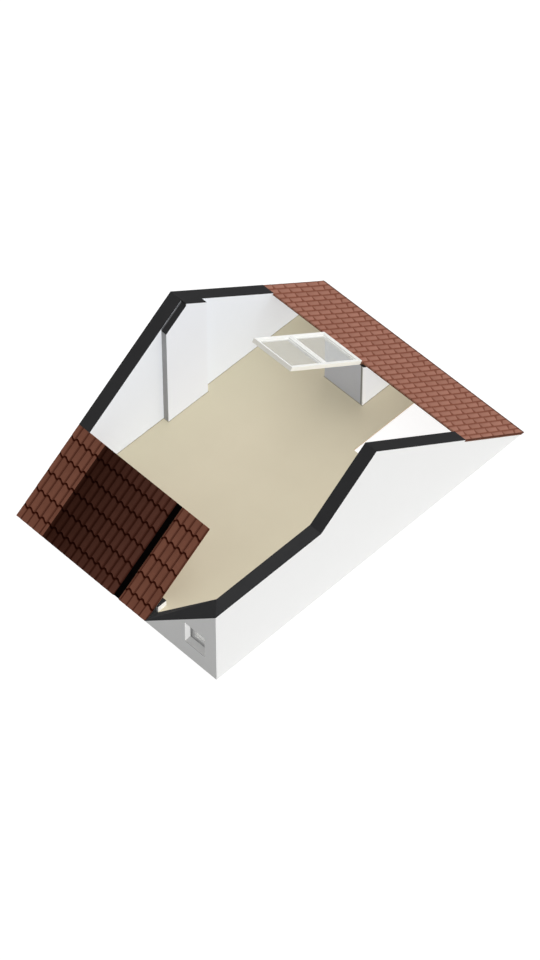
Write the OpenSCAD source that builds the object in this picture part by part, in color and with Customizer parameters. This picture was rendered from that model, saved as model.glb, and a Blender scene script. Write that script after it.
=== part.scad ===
// Attic storey of a terraced house, cut open above the eaves.
// Right half carries one half of a cross gable with a small dormer window.
// Front is -Y (dormer side), the party wall is +X, base plane is Z = 0. Millimetres.

/* [Storey] */
// outside length along the ridge
storey_w = 6000; // [5400:10:6800]
// outside depth from eaves to eaves
storey_d = 9180; // [8400:10:10200]
// pitch of both roof slopes in degrees
roof_pitch = 36.8; // [33:0.1:41]
// thickness of the gable and party walls
wall_t = 320; // [240:5:380]
// height of the black sheet on every cut wall top
cap_v = 15; // [8:1:30]

/* [Floor] */
// structural floor boards
deck_floor_t = 22; // [18:1:40]
// beige floor covering
cover_t = 8; // [4:1:15]
// stairwell edge measured from the left outer face
stair_x = 3790; // [3400:10:4400]
// stairwell edge measured from the front eaves
stair_y = 6250; // [5600:10:6600]
// stairwell length toward the rear
stair_l = 2100; // [1600:10:2250]

/* [Eaves plates] */
// plate depth measured from the outer eaves line
plate_d = 580; // [480:10:700]
// plate height above the base
plate_h = 200; // [150:5:220]

/* [Roof strips] */
// plan run of each roof strip from the eaves
strip_run = 1875; // [1600:10:2100]
// boarding under the tiles
deck_t = 24; // [18:1:35]
// tile layer
tile_t = 34; // [25:1:50]
// width of the paler tile field at the left
field_w = 790; // [500:10:1200]
// start of the black lead channel from the left
channel_x = 2945; // [2400:10:3200]
// width of the lead channel
channel_w = 155; // [100:5:220]
// lead sheet thickness
lead_t = 6; // [3:1:10]

/* [Dormer gable] */
// height of the dormer ridge, also the flat run of the party wall
dormer_h = 2140; // [1900:10:2400]
// half width of the dormer from the party line to the rake foot
dormer_w = 2110; // [1900:10:2400]
// thickness of the dormer front wall
dormer_t = 340; // [260:5:380]
// plan run of the party wall's rise from the dormer ridge to the main ridge
rise_run = 1580; // [1300:10:1900]

/* [Dormer window] */
// clear opening width
dw_w = 575; // [450:5:640]
// clear opening height
dw_h = 640; // [480:5:680]
// sill height above the base
dw_z = 460; // [400:5:520]
// distance from the party line to the opening
dw_side = 335; // [325:5:420]
// reveal depth to the frame
dw_reveal = 150; // [90:5:170]
// frame bar width
dw_frame = 55; // [40:1:75]
// sash bar width
dw_sash = 60; // [40:1:80]
// frame depth
dw_depth = 78; // [60:1:90]

/* [Chimney breast] */
// width along the gable
breast_w = 1175; // [900:5:1400]
// projection from the gable inside face
breast_d = 145; // [100:5:220]
// how far the front slope of its top lies below the gable top
breast_drop = 65; // [40:5:120]

/* [Roof window] */
// centre of the twin window from the left outer face
rw_x = 2412; // [2200:2:2800]
// width of each unit
rw_w = 1126; // [900:2:1250]
// length of each unit along the slope
rw_l = 1312; // [1150:2:1450]
// depth of the frame below the tile plane
rw_depth = 100; // [85:1:130]
// frame bar width
rw_frame = 36; // [28:1:50]
// sash stile and top rail width
rw_sash = 36; // [28:1:50]
// sash bottom rail width
rw_foot = 72; // [50:1:100]
// how far the sash top lies below the frame top
rw_step = 8; // [4:1:15]
// how far the pane lies below the sash top
rw_sink = 45; // [30:1:50]
// pane thickness of both windows
pane_t = 24; // [16:1:28]

/* [Knee wall] */
// left face of the knee wall from the left outer face
knee_x = 1934; // [1700:2:2300]
// length of the knee wall front
knee_w = 1136; // [900:2:1300]
// thickness of the knee wall
knee_t = 95; // [60:5:120]

/* [Hidden] */
hw = storey_w / 2;
hd = storey_d / 2;
cp = cos(roof_pitch);
sp = sin(roof_pitch);
tp = tan(roof_pitch);
ridge_h = hd * tp;
roof_t = tile_t + deck_t;
cap_n = cap_v * cp;
strip_len = strip_run / cp;
xin = hw - wall_t;
yin = hd - plate_d;
floor_z = deck_floor_t + cover_t;
ydorm = -hd + dormer_t;
yk = -rise_run;
x_a = hw - dormer_w;
x_e = x_a + 40;
sx = stair_x - hw;
sy = stair_y - hd;
wx1 = hw - dw_side;
wx0 = wx1 - dw_w;
rake = (dormer_h - cap_v) / dormer_w;
wz1 = min(dw_z + dw_h, (wx0 - x_a) * rake - 60);
yf0 = -hd + dw_reveal;
yf1 = yf0 + dw_depth;
rx0 = rw_x - rw_w / 2 - hw;
rx1 = rx0 + rw_w;
kx0 = knee_x - hw;
kx1 = kx0 + knee_w;
ky0 = hd - strip_run - rw_depth * sp;
ky1 = ky0 + knee_t;
e = 20;

// point of the front slope at s along the slope and n above the tile plane
function fs(s, n) = [-hd + s * cp - n * sp, s * sp + n * cp];
// where layer n of the front slope meets the base plane
function toe(n) = [-hd - n / sp, 0];
// same height on the rear slope
function rear(p) = [-p[0], p[1]];
// height of layer n at plan distance y from the ridge
function top_z(y, n) = (hd - abs(y)) * tp + n / cp;

// profile drawn in Y and Z, run along X
module along_x(x0, x1) translate([x0, 0, 0]) rotate([90, 0, 90]) linear_extrude(x1 - x0) children();
// profile drawn in X and Z, run along Y
module along_y(y0, y1) translate([0, y1, 0]) rotate([90, 0, 0]) linear_extrude(y1 - y0) children();
// local frame of the rear slope: x runs along -X, y up the slope, z off the tiles
module rear_slope() rotate([0, 0, 180]) translate([0, -hd, 0]) rotate([roof_pitch, 0, 0]) children();
module rear_side() mirror([0, 1, 0]) children();
module ring(w, h, l, r, b, t) difference() {
  square([w, h]);
  translate([l, b]) square([w - l - r, h - b - t]);
}
// sloping layer of the front roof strip, cut level at the base
module layer(n0, n1) polygon([toe(n1), toe(n0), fs(strip_len, n0), fs(strip_len, n1)]);
// sloping black sheet from the strip edge to the ridge
module slope_cap() polygon([fs(strip_len, -cap_n), fs(strip_len, 0), [0, ridge_h], [0, ridge_h - cap_v]]);

module floor_plan() difference() {
  union() {
    translate([-xin, -yin]) square([2 * xin, 2 * yin]);
    translate([x_e, ydorm]) square([xin - x_e, -yin - ydorm + 1]);
  }
  translate([-xin - e, -breast_w / 2]) square([breast_d + e, breast_w]);
  translate([sx, sy]) square([xin - sx + e, stair_l]);
}

module floor_deck() color([0.70, 0.56, 0.38]) linear_extrude(deck_floor_t) floor_plan();

module floor_covering() color([0.80, 0.75, 0.62])
  translate([0, 0, deck_floor_t]) linear_extrude(cover_t) floor_plan();

module left_gable_wall() color([0.92, 0.92, 0.91]) along_x(-hw, -xin) polygon([
  toe(-roof_t), fs(strip_len, -roof_t), fs(strip_len, -cap_n), [0, ridge_h - cap_v],
  rear(fs(strip_len, -cap_n)), rear(fs(strip_len, -roof_t)), rear(toe(-roof_t))]);

module left_gable_capping_front() color([0.2, 0.2, 0.2]) along_x(-hw, -xin) slope_cap();

module left_gable_capping_rear() color([0.2, 0.2, 0.2]) rear_side() along_x(-hw, -xin) slope_cap();

// masonry stack inside the gable; its front slope lies lower than the gable top
module breast_top(drop) polygon([
  [-breast_w / 2, top_z(breast_w / 2, 0) - cap_v - drop], [-breast_w / 2, top_z(breast_w / 2, 0) - drop],
  [0, ridge_h - drop], [0, ridge_h - cap_v - drop]]);

module chimney_breast() color([0.92, 0.92, 0.91]) along_x(-xin, -xin + breast_d) polygon([
  [-breast_w / 2, 0], [-breast_w / 2, top_z(breast_w / 2, 0) - cap_v - breast_drop],
  [0, ridge_h - cap_v - breast_drop], [0, ridge_h - cap_v],
  [breast_w / 2, top_z(breast_w / 2, 0) - cap_v], [breast_w / 2, 0]]);

module chimney_capping_front() color([0.2, 0.2, 0.2]) along_x(-xin, -xin + breast_d) breast_top(breast_drop);

module chimney_capping_rear() color([0.2, 0.2, 0.2]) rear_side() along_x(-xin, -xin + breast_d) breast_top(0);

// corner between dormer front and party wall is mitred
module party_wall() color([0.92, 0.92, 0.91]) difference() {
  along_x(xin, hw) polygon([
    [-hd, 0], [-hd, dormer_h - cap_v], [yk, dormer_h - cap_v], [0, ridge_h - cap_v],
    rear(fs(strip_len, -cap_n)), rear(fs(strip_len, -roof_t)), rear(toe(-roof_t))]);
  translate([0, 0, -e]) linear_extrude(dormer_h + 2 * e)
    polygon([[hw, -hd], [xin, ydorm], [xin - e, ydorm], [xin - e, -hd - e], [hw, -hd - e]]);
}

module party_capping_dormer() color([0.2, 0.2, 0.2]) translate([0, 0, dormer_h - cap_v]) linear_extrude(cap_v)
  polygon([[hw, -hd], [hw, yk], [xin, yk], [xin, ydorm]]);

module party_capping_front() color([0.2, 0.2, 0.2]) along_x(xin, hw)
  polygon([[yk, dormer_h - cap_v], [yk, dormer_h], [0, ridge_h], [0, ridge_h - cap_v]]);

module party_capping_rear() color([0.2, 0.2, 0.2]) rear_side() along_x(xin, hw) slope_cap();

// half gable whose top rises from nothing at the rake foot to the dormer ridge
module dormer_front_wall() color([0.92, 0.92, 0.91]) difference() {
  polyhedron(
    points = [[x_a, -hd, 0], [hw, -hd, 0], [xin, ydorm, 0], [x_e, ydorm, 0],
      [hw, -hd, dormer_h - cap_v], [xin, ydorm, dormer_h - cap_v]],
    faces = [[0, 1, 2, 3], [0, 4, 1], [1, 4, 5, 2], [2, 5, 3], [0, 5, 4], [0, 3, 5]]);
  translate([wx0, -hd - e, dw_z]) cube([wx1 - wx0, dormer_t + 2 * e, wz1 - dw_z]);
}

module dormer_rake_capping() color([0.2, 0.2, 0.2]) polyhedron(
  points = [[x_a, -hd, 0], [hw, -hd, dormer_h - cap_v], [xin, ydorm, dormer_h - cap_v], [x_e, ydorm, 0],
    [x_a, -hd, cap_v], [hw, -hd, dormer_h], [xin, ydorm, dormer_h], [x_e, ydorm, cap_v]],
  faces = [[0, 1, 2], [0, 2, 3], [4, 6, 5], [4, 7, 6],
    [0, 4, 5, 1], [1, 5, 6, 2], [2, 6, 7, 3], [3, 7, 4, 0]]);

module dormer_window_sill() color([0.85, 0.85, 0.84]) along_x(wx0, wx1)
  polygon([[-hd, dw_z], [yf0, dw_z], [yf0, dw_z + 38], [-hd, dw_z + 18]]);

module dormer_window_frame() color([0.95, 0.95, 0.94]) along_y(yf0, yf1)
  translate([wx0, dw_z]) ring(wx1 - wx0, wz1 - dw_z, dw_frame, dw_frame, dw_frame, dw_frame);

module dormer_window_sash() color([0.93, 0.93, 0.92]) along_y(yf0 + 12, yf1 - 8)
  translate([wx0 + dw_frame, dw_z + dw_frame])
    ring(wx1 - wx0 - 2 * dw_frame, wz1 - dw_z - 2 * dw_frame, dw_sash, dw_sash, dw_sash, dw_sash);

module dormer_window_glass() color([0.75, 0.82, 0.84]) along_y((yf0 + yf1 - pane_t) / 2, (yf0 + yf1 + pane_t) / 2)
  translate([wx0 + dw_frame + dw_sash, dw_z + dw_frame + dw_sash])
    square([wx1 - wx0 - 2 * (dw_frame + dw_sash), wz1 - dw_z - 2 * (dw_frame + dw_sash)]);

// splayed wall plate that carries the foot of the roof strip
module plate_profile(h) polygon([toe(-roof_t), [-hd + (h + roof_t / cp) / tp, h], [-yin, h], [-yin, 0]]);

module front_eaves_plate() color([0.92, 0.92, 0.91]) union() {
  along_x(-xin, x_a) plate_profile(plate_h - cap_v);
  translate([x_a, ydorm, 0]) cube([x_e - x_a, -yin - ydorm, plate_h - cap_v]);
}

module front_plate_capping() color([0.2, 0.2, 0.2]) union() {
  along_x(-xin, x_a) polygon([[-hd + (plate_h - cap_v + roof_t / cp) / tp, plate_h - cap_v],
    [-hd + (plate_h + roof_t / cp) / tp, plate_h], [-yin, plate_h], [-yin, plate_h - cap_v]]);
  translate([x_a, ydorm, plate_h - cap_v]) cube([x_e - x_a, -yin - ydorm, cap_v]);
}

module rear_eaves_plate() color([0.92, 0.92, 0.91]) rear_side() along_x(-xin, xin) plate_profile(plate_h);

module front_roof_deck() color([0.55, 0.36, 0.26]) along_x(-hw, x_a) layer(-roof_t, -tile_t);

module front_tiles_left() color([0.43, 0.27, 0.22]) along_x(-hw, -hw + field_w) layer(-tile_t, 0);

module front_tiles_dark() color([0.2, 0.12, 0.1]) along_x(-hw + field_w, -hw + channel_x) layer(-tile_t, 0);

module front_lead_channel() color([0.03, 0.03, 0.03])
  along_x(-hw + channel_x, -hw + channel_x + channel_w) layer(-tile_t, -tile_t + lead_t);

module front_tiles_right() color([0.43, 0.27, 0.22]) along_x(-hw + channel_x + channel_w, x_a) layer(-tile_t, 0);

module rear_roof_deck() color([0.55, 0.36, 0.26]) rear_side() along_x(-hw, hw) layer(-roof_t, -tile_t);

module rear_tiles() color([0.66, 0.48, 0.42]) rear_side() along_x(-hw, hw) layer(-tile_t, 0);

// boarded box under the foot of the roof window; its front stops level with the frame's underside
module knee_top(n0, n1) polygon([[-ky1, top_z(ky1, n0)], [-ky1, top_z(ky1, n1)],
  [-ky0, top_z(ky0, n1)], [-ky0, top_z(ky0, n0)]]);

module knee_wall_front() color([0.9, 0.9, 0.9]) rear_side() along_x(kx0, kx1) polygon([
  [-ky1, floor_z], [-ky1, top_z(ky1, -rw_depth - cap_n)], [-ky0, top_z(ky0, -rw_depth - cap_n)],
  [-ky0, floor_z]]);

module knee_wall_capping() color([0.2, 0.2, 0.2]) rear_side() along_x(kx0, kx1)
  knee_top(-rw_depth - cap_n, -rw_depth);

// batten between the capping and the roof boards, ends at the window's side
module knee_wall_bearer() color([0.55, 0.36, 0.26]) rear_side() along_x(kx0, rx1)
  polygon([[-ky1, top_z(ky1, -rw_depth)], [-ky1, top_z(ky1, -roof_t)],
    fs(strip_len, -roof_t), fs(strip_len, -rw_depth)]);

module cheek_profile() polygon([[-yin, floor_z], [-yin, top_z(yin, -roof_t)],
  [-ky1, top_z(ky1, -roof_t)], [-ky1, floor_z]]);

module knee_wall_left_cheek() color([0.92, 0.92, 0.91]) rear_side() along_x(kx0, kx0 + knee_t) cheek_profile();

module knee_wall_right_cheek() color([0.92, 0.92, 0.91]) rear_side() along_x(kx1 - knee_t, kx1) cheek_profile();

// one roof window unit, i = 0 lower and i = 1 upper
module unit(i, n) rear_slope() translate([-rx1, strip_len + i * rw_l, n]) children();

module rw_frame_body(i) unit(i, -rw_depth) linear_extrude(rw_depth)
  ring(rw_w, rw_l, rw_frame, rw_frame, rw_frame, rw_frame);

module rw_sash_body(i) unit(i, -rw_depth + rw_step) translate([rw_frame, rw_frame])
  linear_extrude(rw_depth - 2 * rw_step)
    ring(rw_w - 2 * rw_frame, rw_l - 2 * rw_frame, rw_sash, rw_sash, rw_foot, rw_sash);

module rw_glass_body(i) unit(i, -rw_step - rw_sink - pane_t)
  translate([rw_frame + rw_sash, rw_frame + rw_foot]) linear_extrude(pane_t)
    square([rw_w - 2 * (rw_frame + rw_sash), rw_l - 2 * rw_frame - rw_foot - rw_sash]);

module lower_roof_window_frame() color([0.95, 0.95, 0.93]) rw_frame_body(0);

module lower_roof_window_sash() color([0.96, 0.96, 0.95]) rw_sash_body(0);

module lower_roof_window_glass() color([0.75, 0.82, 0.84]) rw_glass_body(0);

module upper_roof_window_frame() color([0.95, 0.95, 0.93]) rw_frame_body(1);

module upper_roof_window_sash() color([0.96, 0.96, 0.95]) rw_sash_body(1);

module upper_roof_window_glass() color([0.75, 0.82, 0.84]) rw_glass_body(1);

floor_deck();
floor_covering();
left_gable_wall();
left_gable_capping_front();
left_gable_capping_rear();
chimney_breast();
chimney_capping_front();
chimney_capping_rear();
party_wall();
party_capping_dormer();
party_capping_front();
party_capping_rear();
dormer_front_wall();
dormer_rake_capping();
dormer_window_sill();
dormer_window_frame();
dormer_window_sash();
dormer_window_glass();
front_eaves_plate();
front_plate_capping();
rear_eaves_plate();
front_roof_deck();
front_tiles_left();
front_tiles_dark();
front_lead_channel();
front_tiles_right();
rear_roof_deck();
rear_tiles();
knee_wall_front();
knee_wall_left_cheek();
knee_wall_right_cheek();
knee_wall_capping();
knee_wall_bearer();
lower_roof_window_frame();
lower_roof_window_sash();
lower_roof_window_glass();
upper_roof_window_frame();
upper_roof_window_sash();
upper_roof_window_glass();
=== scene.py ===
import math

import bmesh
import bpy
from mathutils import Matrix, Vector


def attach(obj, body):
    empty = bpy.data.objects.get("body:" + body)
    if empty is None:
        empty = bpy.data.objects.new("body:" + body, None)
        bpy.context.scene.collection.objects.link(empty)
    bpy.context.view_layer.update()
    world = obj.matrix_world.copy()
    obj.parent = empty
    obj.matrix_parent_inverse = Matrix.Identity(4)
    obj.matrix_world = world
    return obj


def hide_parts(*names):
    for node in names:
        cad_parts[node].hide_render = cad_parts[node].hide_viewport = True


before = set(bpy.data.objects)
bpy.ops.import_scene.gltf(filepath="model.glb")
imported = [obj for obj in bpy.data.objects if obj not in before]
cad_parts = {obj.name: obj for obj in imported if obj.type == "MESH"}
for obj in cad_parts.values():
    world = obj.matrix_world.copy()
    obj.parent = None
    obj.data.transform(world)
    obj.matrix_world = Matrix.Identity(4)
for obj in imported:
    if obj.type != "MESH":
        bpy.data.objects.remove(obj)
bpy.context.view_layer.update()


# ---------------------------------------------------------------- floor boards
# The structural floor: 22 mm chipboard sheets laid edge to edge and screwed down.
# It shows round the stairwell and from below, so it keeps its flakes and sheet joints.
class Tone:
    """A value or colour on its way through a finish; sums on it add their Math nodes."""

    def __init__(self, tree, out):
        self.tree, self.out = tree, out

    def put(self, kind, settings=(), sockets=(), out=0):
        node = self.tree.nodes.new("ShaderNode" + kind)
        for name, value in dict(settings).items():
            if name == "stops":
                ramp = node.color_ramp.elements
                while len(ramp) < len(value):
                    ramp.new(0.5)
                for stop, (at, shade) in zip(ramp, value):
                    stop.position = at
                    stop.color = (shade, shade, shade, 1.0)
            else:
                setattr(node, name, value)
        for key, value in dict(sockets).items():
            if isinstance(value, Tone):
                self.tree.links.new(value.out, node.inputs[key])
            else:
                node.inputs[key].default_value = value
        return Tone(self.tree, node.outputs[out])

    def sum(self, operation, a, b):
        return self.put("Math", {"operation": operation}, {0: a, 1: b})

    def __add__(self, other):
        return self.sum("ADD", self, other)

    def __radd__(self, other):
        return self.sum("ADD", other, self)

    def __sub__(self, other):
        return self.sum("SUBTRACT", self, other)

    def __rsub__(self, other):
        return self.sum("SUBTRACT", other, self)

    def __mul__(self, other):
        return self.sum("MULTIPLY", self, other)

    def __truediv__(self, other):
        return self.sum("DIVIDE", self, other)

    def size(self):
        return self.sum("ABSOLUTE", self, 0.0)

    def axis(self, which):
        return self.put("SeparateXYZ", {}, {0: self}, out=which)

    def clamp(self):
        return self.put("Clamp", {}, {0: self})

    def past(self, line):
        """1 beyond the line and 0 before it, with a border 10 mm wide."""
        return ((self - line) * 100.0).clamp()

    def ramp(self, *stops):
        return self.put("ValToRGB", {"stops": stops}, {0: self})

    def noise(self, scale, detail=3.0, stretch=(1.0, 1.0, 1.0)):
        place = self
        if stretch != (1.0, 1.0, 1.0):
            place = self.put("Mapping", {}, {"Vector": self, "Scale": stretch})
        return self.put("TexNoise", {}, {"Vector": place, "Scale": scale, "Detail": detail})

    def blend(self, share, a, b):
        return self.put("Mix", {"data_type": "RGBA"}, {0: share, 6: a, 7: b}, out=2)

    def bump(self, depth, strength=1.0):
        return self.put("Bump", {}, {"Height": self, "Distance": depth, "Strength": strength})


def paint(red, green, blue):
    """A colour as a paint chart gives it, 0 to 255, as the shader wants it."""
    return tuple(
        (c / 12.92 if c <= 0.04045 else ((c + 0.055) / 1.055) ** 2.4)
        for c in (red / 255, green / 255, blue / 255)
    ) + (1.0,)


def finish(name, recipe, **fixed):
    """A material: recipe gives its varying inputs, fixed sets others on the shader."""
    material = bpy.data.materials.new(name)
    material.use_nodes = True
    tree = material.node_tree
    shader = tree.nodes["Principled BSDF"]
    place = Tone(tree, tree.nodes.new("ShaderNodeTexCoord").outputs["Object"])
    for socket, tone in recipe(place).items():
        tree.links.new(tone.out, shader.inputs[socket])
    for socket, value in fixed.items():
        shader.inputs[socket.replace("_", " ")].default_value = value
    return material


def coat(material, *nodes):
    """Gives the CAD nodes that stay in sight their finish."""
    for node in nodes:
        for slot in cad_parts[node].material_slots:
            slot.material = material


def chipboard(place):
    flakes = place.put("TexVoronoi", {"feature": "F1"}, {"Vector": place, "Scale": 90.0}, out=1)
    flake = place.put("SeparateColor", {}, {0: flakes})
    cloud = place.noise(3.0)
    half_wide, half_long = 0.6, 1.2
    sheet_x = place.sum("PINGPONG", place.axis(0) + 3.0, half_wide)
    sheet_y = place.sum("PINGPONG", place.axis(1) + 4.6, half_long)
    joint = place.sum("MINIMUM", sheet_x, sheet_y).ramp((0.0, 1.0), (0.004, 0.0))
    wood = place.blend(flake * 0.7 + cloud * 0.3, paint(164, 128, 86), paint(206, 174, 126))
    return {
        "Base Color": place.blend(joint, wood, paint(92, 68, 44)),
        "Roughness": 0.72 + flake * 0.16,
        "Normal": (flake * 0.4 - joint).bump(0.0015, 0.6),
    }


coat(finish("chipboard", chipboard), "floor_deck")


# --------------------------------------------------------------- floor covering
# Beige sheet floor, 8 mm, loose laid wall to wall and cut round the stairwell and breast.
# Matte, clouded, greyed toward rear and gable by painted shade, with a painted shade line along the
# walls it meets.
gable_face, breast_face, breast_half = -2.68, -2.535, 0.5875
knee_middle, knee_half, knee_face = -0.498, 0.568, 2.655


def sheet_floor(place):
    cloud = place.noise(0.9, 4.0)
    grain = place.noise(160.0, 2.0)
    x, y = place.axis(0), place.axis(1)
    from_breast = place.sum("MAXIMUM", x - breast_face, y.size() - breast_half)
    from_knee = place.sum("MAXIMUM", (x - knee_middle).size() - knee_half, knee_face - y)
    from_walls = place.sum("MINIMUM", x - gable_face, place.sum("MINIMUM", from_breast, from_knee))
    # Painted shade: a dark line along the foot of the gable, breast and knee wall.
    joint = (from_walls + cloud * 0.004).ramp((0.0, 0.75), (0.012, 0.6), (0.026, 0.0))
    sheet = place.blend(cloud * 0.7 + grain * 0.3, paint(206, 196, 172), paint(216, 207, 183))
    # Painted shade greying the floor toward the rear and toward the gable.
    rear_shade = ((y - 0.4) / 3.2).clamp()
    gable_shade = ((-1.0 - x) / 1.7).clamp()
    sheet = place.blend(rear_shade * 0.3 + gable_shade * 0.4, sheet, paint(186, 182, 158))
    return {
        "Base Color": place.blend(joint, sheet, paint(112, 104, 88)),
        "Roughness": 0.62 + grain * 0.2,
        "Normal": (grain * 0.6 + cloud * 0.4 - joint).bump(0.0008, 0.35),
    }


coat(finish("sheet_floor", sheet_floor, Specular_IOR_Level=0.2), "floor_covering")


# ------------------------------------------------------ gable, party wall and plates
# Masonry walls under smooth white render outside and a cooler white plaster inside, its cool tint
# painted against the warm light bounced off the floor.
# The low plates along both eaves are rendered in with them; the roof strips sit on those.
gable_skin = -2.99
nowhere = 9.0  # an x beyond the part


def white_coat(warm, cool, inside_from):
    def recipe(place):
        cloud = place.noise(1.3, 4.0)
        trowel = place.noise(9.0, 3.0, (1.0, 1.0, 0.5))
        sand = place.noise(240.0, 2.0)
        white = place.blend(place.axis(0).past(inside_from), warm, cool)
        dust = (cloud * 0.6 + trowel * 0.4) * 0.08
        return {
            "Base Color": place.blend(dust, white, paint(206, 206, 205)),
            "Roughness": 0.8 + sand * 0.15,
            "Normal": (trowel * 0.7 + sand * 0.3).bump(0.0012, 0.35),
        }
    return recipe


# The inside plaster's cool tint is painted against the warm light bounced off the floor.
lime, plaster = paint(241, 241, 240), paint(238, 242, 249)
render_white = finish("white_render", white_coat(lime, lime, nowhere), Specular_IOR_Level=0.2)
gable_white = finish("gable_white", white_coat(lime, plaster, gable_skin), Specular_IOR_Level=0.2)
coat(render_white, "party_wall", "front_eaves_plate", "rear_eaves_plate")
coat(gable_white, "left_gable_wall")


# ------------------------------------------------------------------ chimney breast
# Plastered masonry stack inside the left gable, cut off with the wall at the roof line.
# White as the inside walls but for its front return, painted grey as painted shade.
def breast_plaster(place):
    cloud = place.noise(1.3, 4.0)
    sand = place.noise(240.0, 2.0)
    # Painted shade: the front return, the face toward -y, is painted grey.
    front_return = ((-0.586 - place.axis(1)) * 2000.0).clamp()
    white = place.blend(cloud * 0.08, paint(237, 240, 247), paint(206, 206, 205))
    return_shade = place.blend(cloud, paint(166, 167, 170), paint(180, 181, 184))
    return {
        "Base Color": place.blend(front_return, white, return_shade),
        "Roughness": 0.8 + sand * 0.15,
        "Normal": (cloud * 0.5 + sand * 0.5).bump(0.0012, 0.35),
    }


coat(finish("breast_plaster", breast_plaster, Specular_IOR_Level=0.2), "chimney_breast")


# ---------------------------------------------------------------- half dormer gable
# Rendered front of the half dormer, mitred into the party wall, with a sloping sill.
# The sill is cast in fine grey concrete and left bare.
def cast_sill(place):
    cloud = place.noise(7.0, 4.0)
    grain = place.noise(180.0, 3.0)
    mottle = cloud * 0.5 + grain * 0.5
    return {
        "Base Color": place.blend(mottle, paint(178, 178, 177), paint(196, 196, 195)),
        "Roughness": 0.8 + grain * 0.15,
        "Normal": (cloud * 0.3 + grain * 0.7).bump(0.002, 0.5),
    }


coat(render_white, "dormer_front_wall")
coat(finish("cast_sill", cast_sill, Specular_IOR_Level=0.15), "dormer_window_sill")


# ------------------------------------------------------------------ black cappings
# Near-black sheet laid over every cut wall top and over the knee wall.
# Matte coating, clouded and rubbed paler in spots; the rear-slope copy is painted darker as painted
# shade, against the stronger light on the rear slopes.
def black_sheet(low, high):
    def recipe(place):
        cloud = place.noise(2.2, 4.0)
        rub = place.noise(26.0, 3.0)
        return {
            "Base Color": place.blend(cloud * 0.6 + rub * 0.4, low, high),
            "Roughness": 0.75 + rub * 0.2,
            "Normal": (cloud * 0.6 + rub * 0.4).bump(0.0015, 0.3),
        }
    return recipe


# Front and rear copies differ only in tone: the rear one is darker as painted shade.
sheet_front = finish(
    "black_sheet_front", black_sheet(paint(47, 47, 48), paint(58, 58, 59)),
    Specular_IOR_Level=0.05)
sheet_rear_shaded = finish(
    "black_sheet_rear", black_sheet(paint(36, 36, 37), paint(47, 47, 48)),
    Specular_IOR_Level=0.05)
coat(
    sheet_front, "left_gable_capping_front", "chimney_capping_front", "party_capping_dormer",
    "party_capping_front", "dormer_rake_capping", "front_plate_capping",
)
coat(
    sheet_rear_shaded, "left_gable_capping_rear", "chimney_capping_rear", "party_capping_rear",
    "knee_wall_capping",
)


# --------------------------------------------------------------------- roof boards
# Sawn roof boards, 24 mm, nailed across under the tiles of both eaves strips.
# Each board is its own length, butted in staggered joints and stained brown.
pitch = math.radians(36.8)
eaves = 4.59
strip = 1.875 / math.cos(pitch)
bay_left, bay_right, front_right = -3.0, 3.0, 0.89
front_slope = Matrix.Translation((0, -eaves, 0)) @ Matrix.Rotation(pitch, 4, "X")
rear_slope = Matrix.Rotation(math.pi, 4, "Z") @ front_slope
board_w, board_t, board_low = 0.1464, 0.024, -0.058
board_rows, butt_gap, side_gap, board_arris, eaves_lip = 16, 0.003, 0.004, 0.003, 0.012


def sawn_board(place):
    grain = place.noise(14.0, 5.0, (0.25, 6.0, 6.0))
    cloud = place.noise(1.7, 3.0)
    stain = grain * 0.7 + cloud * 0.3
    return {
        "Base Color": place.blend(stain, paint(92, 60, 44), paint(142, 100, 76)),
        "Roughness": 0.7 + grain * 0.2,
        "Normal": grain.bump(0.002, 0.6),
    }


board_brown = finish("sawn_board", sawn_board, Specular_IOR_Level=0.2)


def settle(piece_name, bm, material, slot, *stands_for):
    """Makes the finished mesh a piece of the part, riding on it and standing for its nodes."""
    mesh = bpy.data.meshes.new(piece_name)
    bm.to_mesh(mesh)
    bm.free()
    piece = bpy.data.objects.new(piece_name, mesh)
    bpy.context.scene.collection.objects.link(piece)
    for finished in material if isinstance(material, (list, tuple)) else [material]:
        mesh.materials.append(finished)
    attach(piece, "root")
    if stands_for:
        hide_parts(*stands_for)
    return piece


def once(things):
    """Each thing once, in the order met, so that every run builds the same mesh."""
    return list(dict.fromkeys(things))


def saw(bm, at, away):
    """Cuts off what lies beyond a plane and closes the cut."""
    cut = bmesh.ops.bisect_plane(
        bm, geom=bm.verts[:] + bm.edges[:] + bm.faces[:], dist=1e-6,
        plane_co=at, plane_no=away, clear_outer=True)
    rim = [e for e in cut["geom_cut"] if isinstance(e, bmesh.types.BMEdge) and e.is_boundary]
    bmesh.ops.holes_fill(bm, edges=rim, sides=0)


def lay_boards(name, node, left, right, slope, butts):
    """Rows of boards up the slope; butts gives each joint's place and its shift from row to row."""
    bm = bmesh.new()
    for row in range(board_rows):
        ends = [left, *(left + at + shift * (row % 3) for at, shift in butts), right]
        for start, stop in zip(ends, ends[1:]):
            board = bmesh.ops.create_cube(bm, size=1.0)["verts"]
            bmesh.ops.scale(
                bm, verts=board, vec=(stop - start - butt_gap, board_w - side_gap, board_t))
            middle_y, middle_z = (row + 0.5) * board_w - eaves_lip, board_low + board_t / 2
            bmesh.ops.translate(bm, verts=board, vec=((start + stop) / 2, middle_y, middle_z))
            bmesh.ops.bevel(
                bm, geom=once(e for v in board for e in v.link_edges), offset=board_arris,
                segments=1, profile=0.5, affect="EDGES", material=-1)
    saw(bm, (0, strip, 0), (0, 1, 0))
    bmesh.ops.transform(bm, matrix=slope, verts=bm.verts)
    saw(bm, (0, 0, 0), (0, 0, -1))
    return settle(name, bm, board_brown, "roof_boards", node)


lay_boards(
    "front_board_layer", "front_roof_deck", bay_left, front_right, front_slope,
    butts=((1.15, 0.62),))
lay_boards(
    "rear_board_layer", "rear_roof_deck", bay_left, bay_right, rear_slope,
    butts=((1.3, 0.7), (3.6, 0.55)))


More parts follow.
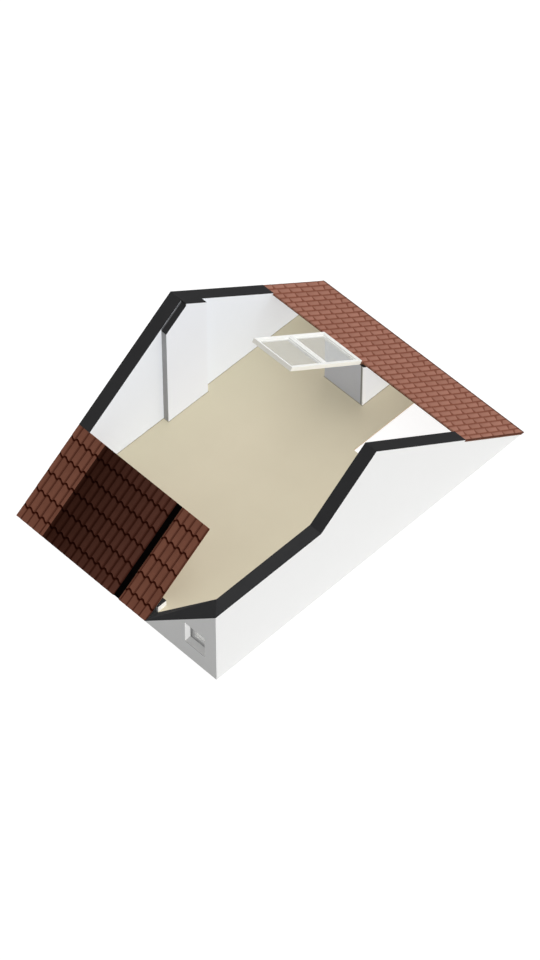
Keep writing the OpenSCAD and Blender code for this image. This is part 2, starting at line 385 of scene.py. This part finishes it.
# ---------------------------------------------------------------------- roof tiles
# Fired clay pan tiles with a low roll on the left, laid in straight columns; every course
# steps up over the one below. Front tails are scalloped, rear ones lower and cut on a slant.
course = 0.4358
first_course = 0.278
roll_at = (0.0, 0.05, 0.11, 0.2, 0.32, 0.44, 0.56, 0.68, 0.8, 0.92, 1.0)
roll_drop = (0.014, 0.005, 0.001, 0.0, 0.0005, 0.002, 0.005, 0.008, 0.0095, 0.0105, 0.011)
scallop = (0.034, 0.050, 0.058, 0.060, 0.058, 0.049, 0.032, 0.018, 0.010, 0.012, 0.034)
slant = tuple(0.138 - 0.13 * at for at in roll_at)
lap_step, tile_bed = 0.009, -0.034
tile_steps, tile_rows, mark_start = len(roll_at) - 1, range(-1, 5), 200
crease = math.radians(38)
verge_rim, eaves_rim = 2.98, 4.545
channel_left, channel_right = -0.055, 0.1
dark_left = -2.21


def fired_clay(body_low, body_high, seam, lap_shade_and_dirt, seam_w, lap_w, wedge=0.0, shadow_tint=None, rim_shade=None):
    """Clay toned tile by tile, dark along side joints, with painted shade under each lap and rim
    and painted shadow to the left.
    """
    def recipe(place):
        tile = place.put("UVMap", {"uv_map": "tile_place"})
        which = place.put("VectorMath", {"operation": "FLOOR"}, {0: tile})
        within = place.put("VectorMath", {"operation": "FRACTION"}, {0: tile})
        across, along = within.axis(0), within.axis(1)
        own = place.put("TexWhiteNoise", {"noise_dimensions": "2D"}, {"Vector": which})
        cloud = place.noise(5.0, 4.0)
        grit = place.noise(120.0, 3.0)
        # The body tone darkens toward each tile's top: painted shade under the lap above.
        shade = own * 0.4 + cloud * 0.4 + grit * 0.2 + (0.5 - along) * 0.5
        colour = place.blend(shade, body_low, body_high)
        ragged = (grit - 0.5) * 0.02
        to_seam = 0.5 - (across - 0.5).size() + ragged
        colour = place.blend(to_seam.ramp((seam_w * 0.3, 1.0), (seam_w, 0.0)), colour, seam)
        # Painted shade with dirt: a near-black band under each lap, below the next course's tail.
        to_lap = 1.0 - along + ragged + (across - 0.5) * wedge
        colour = place.blend(to_lap.ramp((lap_w * 0.6, 1.0), (lap_w, 0.0)), colour, lap_shade_and_dirt)
        # Painted shade along the verge and eaves rims.
        if rim_shade:
            past_verge = place.axis(0).size() - verge_rim
            past_eaves = place.axis(1) - eaves_rim
            rim = place.sum("MAXIMUM", past_verge, past_eaves).past(0.0)
            colour = place.blend(rim, colour, rim_shade)
        # Painted shadow over the dark field: darkest at its left side, fading out toward the
        # channel.
        if shadow_tint:
            out_of_shadow = (place.axis(0) - dark_left) / (channel_left - dark_left) + (cloud - 0.5) * 0.12
            shadowed = place.put(
                "Mix", {"data_type": "RGBA", "blend_type": "MULTIPLY"},
                {0: 1.0, 6: colour, 7: shadow_tint}, out=2)
            colour = place.blend(out_of_shadow.clamp(), shadowed, colour)
        return {
            "Base Color": colour,
            "Roughness": 0.74 + grit * 0.2,
            "Normal": (cloud * 0.4 + grit * 0.6).bump(0.0015, 0.5),
        }
    return recipe


def verts_of(made):
    return [g for g in made if isinstance(g, bmesh.types.BMVert)]


def faces_of(made):
    return [g for g in made if isinstance(g, bmesh.types.BMFace)]


def lay_tiles(name, node, left, right, joint, cover, tail, depth, slope, material, slot):
    """Tiles from left to right as one faces the slope, with a side joint at the given place."""
    bm = bmesh.new()
    marks = bm.loops.layers.uv.new("tile_place")
    first = math.floor((left - joint) / cover + 1e-6)
    last = math.ceil((right - joint) / cover - 1e-6)
    for row in tile_rows:
        foot = first_course + row * course
        grid = bmesh.ops.create_grid(
            bm, x_segments=tile_steps, y_segments=1, size=0.5, calc_uvs=True)["verts"]
        top = once(f for v in grid for f in v.link_faces)
        for face in top:
            for loop in face.loops:
                loop[marks].uv.x = roll_at[round(loop[marks].uv.x * tile_steps)]
        for v in grid:
            i, up = round((v.co.x + 0.5) * tile_steps), v.co.y + 0.5
            relief = up if row >= 0 else (foot + up * course) / (foot + course)
            drop = depth * (roll_drop[i] * (1.0 if row >= 0 else relief) + lap_step * relief)
            v.co = (cover * roll_at[i], foot + course * up + tail[i], -drop)
        under = bmesh.ops.extrude_face_region(bm, geom=top, use_keep_orig=True)["geom"]
        for v in verts_of(under):
            v.co.z = tile_bed
        shell = once([f for v in grid for f in v.link_faces] + faces_of(under))
        bmesh.ops.recalc_face_normals(bm, faces=shell)
        pattern = once(g for f in shell for g in (f, *f.edges, *f.verts))
        for column in range(first, last):
            copy = bmesh.ops.duplicate(bm, geom=pattern)["geom"]
            for face in faces_of(copy):
                for loop in face.loops:
                    loop[marks].uv += Vector((column + mark_start, row + mark_start))
            bmesh.ops.translate(bm, verts=verts_of(copy), vec=(joint + column * cover, 0, 0))
        bmesh.ops.delete(bm, geom=verts_of(pattern), context="VERTS")
    saw(bm, (left, 0, 0), (-1, 0, 0))
    saw(bm, (right, 0, 0), (1, 0, 0))
    saw(bm, (0, strip, 0), (0, 1, 0))
    bmesh.ops.transform(bm, matrix=slope, verts=bm.verts)
    saw(bm, (0, 0, 0), (0, 0, -1))
    piece = settle(name, bm, material, slot, node)
    piece.data.shade_smooth()
    piece.data.set_sharp_from_angle(angle=crease)
    return piece


# The front clay is painted darker than the rear clay: painted shade for the front slope, which
# faces away from the light.
front_clay_shaded = finish(
    "front_clay_shaded",
    fired_clay(
        paint(117, 73, 58), paint(134, 87, 70), paint(84, 45, 33), paint(50, 11, 2), 0.14, 0.14),
    Specular_IOR_Level=0.01)
shadowed_clay = finish(
    "shadowed_clay",
    fired_clay(
        paint(86, 52, 42), paint(100, 62, 51), paint(64, 30, 20), paint(38, 7, 1), 0.2, 0.14,
        shadow_tint=paint(150, 138, 128)),
    Specular_IOR_Level=0.01)
rear_clay = finish(
    "rear_clay",
    fired_clay(
        paint(151, 105, 89), paint(171, 121, 104), paint(124, 73, 58), paint(127, 78, 63),
        0.17, 0.2, wedge=-0.2, rim_shade=paint(88, 52, 41)),
    Specular_IOR_Level=0.03)
# The dark field between dark_left and the channel takes the clay with painted shadow.
for field, left, right, clay, slot in (
    ("left", bay_left, dark_left, front_clay_shaded, "roof_tile"),
    ("dark", dark_left, channel_left, shadowed_clay, "dark_roof_tile"),
    ("right", channel_right, front_right, front_clay_shaded, "roof_tile"),
):
    lay_tiles(
        "front_pan_tiles_" + field, "front_tiles_" + field, left, right,
        joint=0.8915, cover=0.18775, tail=scallop, depth=1.0,
        slope=front_slope, material=clay, slot=slot)
lay_tiles(
    "rear_pan_tiles", "rear_tiles", bay_left, bay_right,
    joint=3.0072, cover=0.1774, tail=slant, depth=0.35,
    slope=rear_slope, material=rear_clay, slot="roof_tile")


# --------------------------------------------------------------------- lead channel
# Black sheet channel let into the front tiles, 155 mm wide, its black a painted shadow band: four
# lapped lengths, each dressed on the boards, up a fillet at the eaves, and turned up at the tile
# ends.
tray_at = (0.002, 0.005, 0.012, 0.03, 0.125, 0.143, 0.15, 0.153)
tray_up = (0.024, 0.022, 0.006, 0.002, 0.002, 0.006, 0.022, 0.024)
tray_steps = len(tray_at) - 1
length_step, lap_len, eaves_run, fillet = 0.62, 0.03, 0.05, 0.034
lap_rise, lead_t, tray_top = 0.004, 0.0022, -0.004


# Near-black of the channel: a painted shadow band; the rake soaker reuses it.
def black_lead(place):
    cloud = place.noise(6.0, 4.0)
    return {
        "Base Color": place.blend(cloud, paint(3, 2, 2), paint(10, 8, 7)),
        "Roughness": 0.75 + cloud * 0.2,
        "Normal": cloud.bump(0.002, 0.4),
    }


bm = bmesh.new()
for length in range(4):
    sheet = bmesh.ops.create_grid(bm, x_segments=tray_steps, y_segments=2, size=0.5)["verts"]
    for v in sheet:
        i, up = round((v.co.x + 0.5) * tray_steps), v.co.y + 0.5
        lift = fillet if length + up == 0 else lap_rise * (1 - up)
        v.co = (channel_left + tray_at[i],
                length_step * (length + up) - eaves_run + lap_len * up,
                min(tile_bed + tray_up[i] + lift, tray_top))
    faces = once(f for v in sheet for f in v.link_faces)
    raised = bmesh.ops.extrude_face_region(bm, geom=faces, use_keep_orig=True)["geom"]
    bmesh.ops.translate(bm, verts=verts_of(raised), vec=(0, 0, lead_t))
bmesh.ops.recalc_face_normals(bm, faces=bm.faces)
saw(bm, (0, strip, 0), (0, 1, 0))
bmesh.ops.transform(bm, matrix=front_slope, verts=bm.verts)
saw(bm, (0, 0, 0), (0, 0, -1))
shadow_band_black = finish("black_lead", black_lead, Specular_IOR_Level=0.0)
settle("lead_channel_lengths", bm, shadow_band_black, "black_lead", "front_lead_channel")


# ---------------------------------------------------------------- lead flashings
# Folded lead at two awkward corners: a grey strip, its grey a painted shade, in the step between
# gable and breast tops, closed by black sheet, and a black soaker round the front plate at the rake
# foot.
# Grey painted shade for the step between gable and breast tops.
def shade_grey_lead(place):
    cloud = place.noise(9.0, 4.0)
    return {
        "Base Color": place.blend(cloud, paint(84, 85, 87), paint(112, 113, 115)),
        "Roughness": 0.65 + cloud * 0.2,
        "Normal": cloud.bump(0.003, 0.4),
    }


breast_step, flashing_t, capping_t, soaker_t = 0.065, 0.0015, 0.0012, 0.003
plate_end, dormer_back, base_gap = 0.8905, -4.253, 0.003
bm = bmesh.new()
fold = bmesh.ops.create_grid(bm, x_segments=6, y_segments=2, size=0.5)["verts"]
for v in fold:
    y, turn = -breast_half * (0.5 - v.co.x), round((v.co.y + 0.5) * 2)
    gable_top = (eaves + y) * math.tan(pitch)
    v.co = (gable_face + (0.0015, 0.0015, 0.014)[turn], y,
            gable_top - (0.018, breast_step - 0.0025, breast_step - 0.0015)[turn])
bmesh.ops.recalc_face_normals(bm, faces=bm.faces)
bmesh.ops.solidify(bm, geom=bm.faces[:], thickness=flashing_t)
shade_grey_flashing = finish("shade_grey_lead", shade_grey_lead, Specular_IOR_Level=0.1)
settle("breast_step_flashing", bm, shade_grey_flashing, "black_capping")

bm = bmesh.new()
corner = bmesh.ops.create_circle(bm, cap_ends=True, segments=3, radius=1.0)["verts"]
for v, (y, z) in zip(corner, ((-4.512, 0.014), (dormer_back, 0.014), (dormer_back, 0.208))):
    v.co = (plate_end, y, z)
sheet = bmesh.ops.extrude_face_region(bm, geom=bm.faces[:], use_keep_orig=True)["geom"]
bmesh.ops.translate(bm, verts=verts_of(sheet), vec=(soaker_t, 0, 0))
bmesh.ops.recalc_face_normals(bm, faces=bm.faces)
foot = bmesh.ops.create_circle(bm, cap_ends=True, segments=3, radius=1.0)["verts"]
for v, (x, y) in zip(foot, ((plate_end, -4.58), (0.9295, dormer_back), (plate_end, dormer_back))):
    v.co = (x, y, base_gap)
sheet = bmesh.ops.extrude_face_region(bm, geom=foot[0].link_faces[:], use_keep_orig=True)["geom"]
bmesh.ops.translate(bm, verts=verts_of(sheet), vec=(0, 0, 0.011))
bmesh.ops.recalc_face_normals(bm, faces=bm.faces)
slot_black = bpy.data.materials["black_lead"]  # the lead channel's own black
settle("rake_foot_soaker", bm, slot_black, "black_lead")

bm = bmesh.new()
fold = bmesh.ops.create_grid(bm, x_segments=2, y_segments=2, size=0.5)["verts"]
for v in fold:
    turn = round((v.co.y + 0.5) * 2)
    y = (-0.0015, -0.0015, -0.03)[turn]
    below = (0.004, breast_step - 0.0015, breast_step - 0.0015)[turn]
    v.co = (gable_face + 0.0725 + v.co.x * 0.14, y, (eaves + y) * math.tan(pitch) - below)
bmesh.ops.recalc_face_normals(bm, faces=bm.faces)
bmesh.ops.solidify(bm, geom=bm.faces[:], thickness=capping_t)
settle("breast_step_capping", bm, sheet_front, "black_capping")


# ------------------------------------------------------------------- dormer window
# Small fixed-shut casement in the half gable: mitred frame, paler sash and glazing bead, all
# painted grey as painted shade in the recess, set 150 mm back in the wall, round one clear pane.
def white_joinery(place):
    brush = place.noise(60.0, 3.0, (1.0, 1.0, 0.2))
    cloud = place.noise(4.0, 3.0)
    sheen = cloud * 0.6 + brush * 0.4
    return {
        "Base Color": place.blend(sheen, paint(238, 238, 235), paint(246, 246, 243)),
        "Roughness": 0.38 + brush * 0.18,
        "Normal": brush.bump(0.0006, 0.35),
    }


def clear_pane(place):
    film = place.noise(3.0, 3.0)
    return {
        "Base Color": place.blend(film, paint(196, 198, 196), paint(208, 210, 207)),
        "Roughness": 0.05 + film * 0.06,
        "Alpha": 0.3 + film * 0.08,
    }


def recess_shade_joinery(low, high):
    def recipe(place):
        brush = place.noise(60.0, 3.0, (1.0, 1.0, 0.2))
        cloud = place.noise(6.0, 4.0)
        return {
            "Base Color": place.blend(cloud * 0.6 + brush * 0.4, low, high),
            "Roughness": 0.6 + brush * 0.2,
            "Normal": brush.bump(0.0008, 0.4),
        }
    return recipe


joinery_white = finish("white_joinery", white_joinery, Specular_IOR_Level=0.3)
# Frame, sash and bead are painted grey as painted shade in the recess; white joinery is their
# unshaded copy.
frame_shade_grey = finish(
    "shade_grey_frame", recess_shade_joinery(paint(132, 132, 133), paint(150, 150, 150)),
    Specular_IOR_Level=0.15)
sash_shade_grey = finish(
    "shade_grey_sash", recess_shade_joinery(paint(190, 190, 190), paint(206, 206, 205)),
    Specular_IOR_Level=0.15)
pane_clear = finish("clear_pane", clear_pane)


def mitred_ring(bm, left, low, right, high, sides, foot, front, back, arris):
    """Four mitred members round an opening, flat in x and y, from depth back to depth front."""
    flat = bmesh.ops.create_grid(bm, x_segments=1, y_segments=1, size=0.5)["verts"]
    bmesh.ops.scale(bm, verts=flat, vec=(right - left, high - low, 1))
    bmesh.ops.translate(bm, verts=flat, vec=((left + right) / 2, (low + high) / 2, back))
    inner = flat[0].link_faces[0]
    ring = bmesh.ops.inset_region(
        bm, faces=[inner], thickness=sides, use_boundary=True, use_even_offset=True)["faces"]
    lowest = min(v.co.y for v in inner.verts)
    bmesh.ops.translate(
        bm, verts=[v for v in inner.verts if v.co.y < lowest + 1e-5], vec=(0, foot - sides, 0))
    bmesh.ops.delete(bm, geom=[inner], context="FACES_ONLY")
    raised = bmesh.ops.extrude_face_region(bm, geom=ring, use_keep_orig=True)["geom"]
    made = verts_of(raised)
    bmesh.ops.translate(bm, verts=made, vec=(0, 0, front - back))
    faces = once([f for v in made for f in v.link_faces] + ring)
    bmesh.ops.recalc_face_normals(bm, faces=faces)
    rims = once(e for f in faces for e in f.edges)
    edges = [e for e in rims if e.calc_face_angle(0.0) > 1.0]
    bmesh.ops.bevel(
        bm, geom=edges, offset=arris, segments=2, profile=0.5, affect="EDGES", material=-1)


wall_face = Matrix.Rotation(math.pi / 2, 4, "X")
sill_z, lintel_z, jamb_l, jamb_r = 0.46, 1.1, 2.09, 2.665
arris, bead_arris = 0.004, 0.002
bead_inset, bead_w, bead_front, bead_back = 0.112, 0.012, 4.421, 4.413
for name, node, inset, member, front, back in (
    ("dormer_frame_joinery", "dormer_window_frame", 0.0, 0.055, 4.44, 4.362),
    ("dormer_sash_joinery", "dormer_window_sash", 0.055, 0.06, 4.428, 4.37),
):
    bm = bmesh.new()
    mitred_ring(
        bm, jamb_l + inset, sill_z + inset, jamb_r - inset, lintel_z - inset,
        member, member, front, back, arris)
    if inset:
        mitred_ring(
            bm, jamb_l + bead_inset, sill_z + bead_inset, jamb_r - bead_inset,
            lintel_z - bead_inset, bead_w, bead_w, bead_front, bead_back, bead_arris)
    bmesh.ops.transform(bm, matrix=wall_face, verts=bm.verts)
    settle(name, bm, sash_shade_grey if inset else frame_shade_grey, "white_joinery", node)
coat(pane_clear, "dormer_window_glass")


# ----------------------------------------------------------------------- knee wall
# Boarded box under the foot of the roof window: painted boards, the front one darker as painted
# shade with a painted shade line and painted highlight at its right end; a sawn batten takes the
# window's lower end.
joint_w = 0.04


def knee_board(low, high, joint_at):
    def recipe(place):
        cloud = place.noise(1.6, 4.0)
        brush = place.noise(40.0, 3.0, (1.0, 1.0, 0.15))
        x = place.axis(0)
        board = place.blend(cloud * 0.6 + brush * 0.4, low, high)
        # Painted shade line along the front board's right end, then a painted highlight strip
        # beyond it.
        board = place.blend(x.past(joint_at), board, paint(140, 141, 143))
        return {
            "Base Color": place.blend(x.past(joint_at + joint_w), board, paint(250, 252, 255)),
            "Roughness": 0.55 + brush * 0.2,
            "Normal": brush.bump(0.0008, 0.3),
        }
    return recipe


cheek_board = knee_board(paint(244, 248, 253), paint(249, 252, 255), nowhere)
# The front board is painted darker and bluer than the cheeks: painted shade.
shaded_front_board = knee_board(paint(210, 214, 226), paint(218, 222, 234), 0.0)
coat(finish("knee_board", cheek_board, Specular_IOR_Level=0.2),
     "knee_wall_left_cheek", "knee_wall_right_cheek")
coat(finish("knee_front_board", shaded_front_board, Specular_IOR_Level=0.2), "knee_wall_front")
coat(board_brown, "knee_wall_bearer")


# --------------------------------------------------------------------- roof window
# Two units one above the other in the rear slope, flush with the tiles: white frame with outer
# sides painted cream as painted light, sash with a deeper foot rail, glazing bead and a pane sunk
# in the sash.
window_l, window_r, unit_len = 0.025, 1.151, 1.312
rail, foot_rail, cream_below = 0.036, 0.072, -0.012
bead_in, bead_up, roof_bead_w = 0.069, 0.105, 0.013


# Painted light: the outer sides are tinted cream and kept bright for warm light bounced off the
# floor.
def bounce_cream(place):
    brush = place.noise(50.0, 3.0, (0.3, 1.0, 1.0))
    return {
        "Base Color": place.blend(brush, paint(243, 240, 230), paint(250, 248, 240)),
        "Roughness": 0.5 + brush * 0.2,
        "Normal": brush.bump(0.0008, 0.3),
    }


bounce_cream_finish = finish("bounce_cream", bounce_cream, Specular_IOR_Level=0.2)
for unit, which in enumerate(("lower", "upper")):
    low = strip + unit * unit_len
    high = low + unit_len
    bm = bmesh.new()
    mitred_ring(bm, window_l, low, window_r, high, rail, rail, 0.0, -0.1, arris)
    # Outer side faces low on the frame take the cream painted light.
    for face in bm.faces:
        at = face.calc_center_median()
        from_side = min(at.x - window_l, window_r - at.x, at.y - low, high - at.y)
        face.material_index = 1 if from_side < arris and at.z < cream_below else 0
    bmesh.ops.transform(bm, matrix=rear_slope, verts=bm.verts)
    settle(which + "_window_frame_joinery", bm, [joinery_white, bounce_cream_finish],
           "white_joinery", which + "_roof_window_frame")
    bm = bmesh.new()
    mitred_ring(
        bm, window_l + rail, low + rail, window_r - rail, high - rail,
        rail, foot_rail, -0.008, -0.092, arris)
    mitred_ring(
        bm, window_l + bead_in, low + bead_up, window_r - bead_in, high - bead_in,
        roof_bead_w, roof_bead_w, -0.044, -0.053, bead_arris)
    bmesh.ops.transform(bm, matrix=rear_slope, verts=bm.verts)
    settle(which + "_window_sash_joinery", bm, joinery_white,
           "white_joinery", which + "_roof_window_sash")
coat(pane_clear, "lower_roof_window_glass", "upper_roof_window_glass")


# ------------------------------------------------------------- floor, light and camera
# A plain pale studio floor that keeps the shadow, soft suns from the right, above and the
# rear, an even fill, and the camera far off and high at the front right corner.
def straight_seen(tree):
    """1 for what the camera sees, also in a mirror or through glass, and 0 for other light."""
    path = tree.nodes.new("ShaderNodeLightPath")
    seen = Tone(tree, path.outputs["Is Camera Ray"])
    for ray in ("Is Glossy Ray", "Is Transmission Ray"):
        seen = seen.sum("MAXIMUM", seen, Tone(tree, path.outputs[ray]))
    return seen


bm = bmesh.new()
bmesh.ops.create_grid(bm, x_segments=2, y_segments=2, size=90.0)
bmesh.ops.translate(bm, verts=bm.verts, vec=(0, 0, -0.002))
ground_mesh = bpy.data.meshes.new("studio_floor")
bm.to_mesh(ground_mesh)
bm.free()
ground = bpy.data.objects.new("studio_floor", ground_mesh)
bpy.context.scene.collection.objects.link(ground)
pale = bpy.data.materials.new("studio_floor")
pale.use_nodes = True
tree = pale.node_tree
tree.nodes.clear()
seen = straight_seen(tree)
dull = seen.put("BsdfDiffuse", {}, {"Color": (0.62, 0.62, 0.62, 1)})
catch = seen.put("BsdfDiffuse", {}, {"Color": (0.5, 0.5, 0.5, 1)})
glow = seen.put("Emission", {}, {"Color": (1, 1, 1, 1), "Strength": 0.62})
shown = seen.put("AddShader", {}, {0: catch, 1: glow})
both = seen.put("MixShader", {}, {0: seen, 1: dull, 2: shown})
tree.links.new(both.out, tree.nodes.new("ShaderNodeOutputMaterial").inputs["Surface"])
ground_mesh.materials.append(pale)

world = bpy.data.worlds.new("studio")
bpy.context.scene.world = world
world.use_nodes = True
tree = world.node_tree
tree.nodes.clear()
seen = straight_seen(tree)
level = 0.33 + seen * 0.67
sky = seen.put("Background", {}, {"Color": (1, 1, 1, 1), "Strength": level})
tree.links.new(sky.out, tree.nodes.new("ShaderNodeOutputWorld").inputs["Surface"])

knee_shade = bpy.data.collections.new("knee_shade")
for side in ("front", "left_cheek", "right_cheek", "capping"):
    knee_shade.objects.link(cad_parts["knee_wall_" + side])
for name, toward, strength, spread, blockers in (
    ("right_key", (-0.5, -0.05, 0.0), 1.44, 20, None),
    ("top_light", (0.0, 0.0, -1.0), 0.85, 20, None),
    ("rear_light", (0.0, -0.64, -0.77), 1.2, 70, knee_shade),
):
    lamp = bpy.data.lights.new(name, "SUN")
    lamp.energy = strength
    lamp.angle = math.radians(spread)
    lamp.use_shadow = bool(blockers)
    hung = bpy.data.objects.new(name, lamp)
    hung.rotation_euler = Vector(toward).to_track_quat("-Z", "Y").to_euler()
    hung.light_linking.blocker_collection = blockers
    bpy.context.scene.collection.objects.link(hung)

lens = bpy.data.cameras.new("corner_view")
lens.lens = 173.19
lens.sensor_width = 36.0
lens.clip_start, lens.clip_end = 1.0, 400.0
camera = bpy.data.objects.new("corner_view", lens)
camera.location = (42.7117, -42.6166, 76.7505)
camera.rotation_euler = Vector((-0.4370, 0.4354, -0.7870)).to_track_quat("-Z", "Y").to_euler()
bpy.context.scene.collection.objects.link(camera)
bpy.context.scene.camera = camera
bpy.context.scene.view_settings.view_transform = "Standard"

bpy.context.view_layer.update()
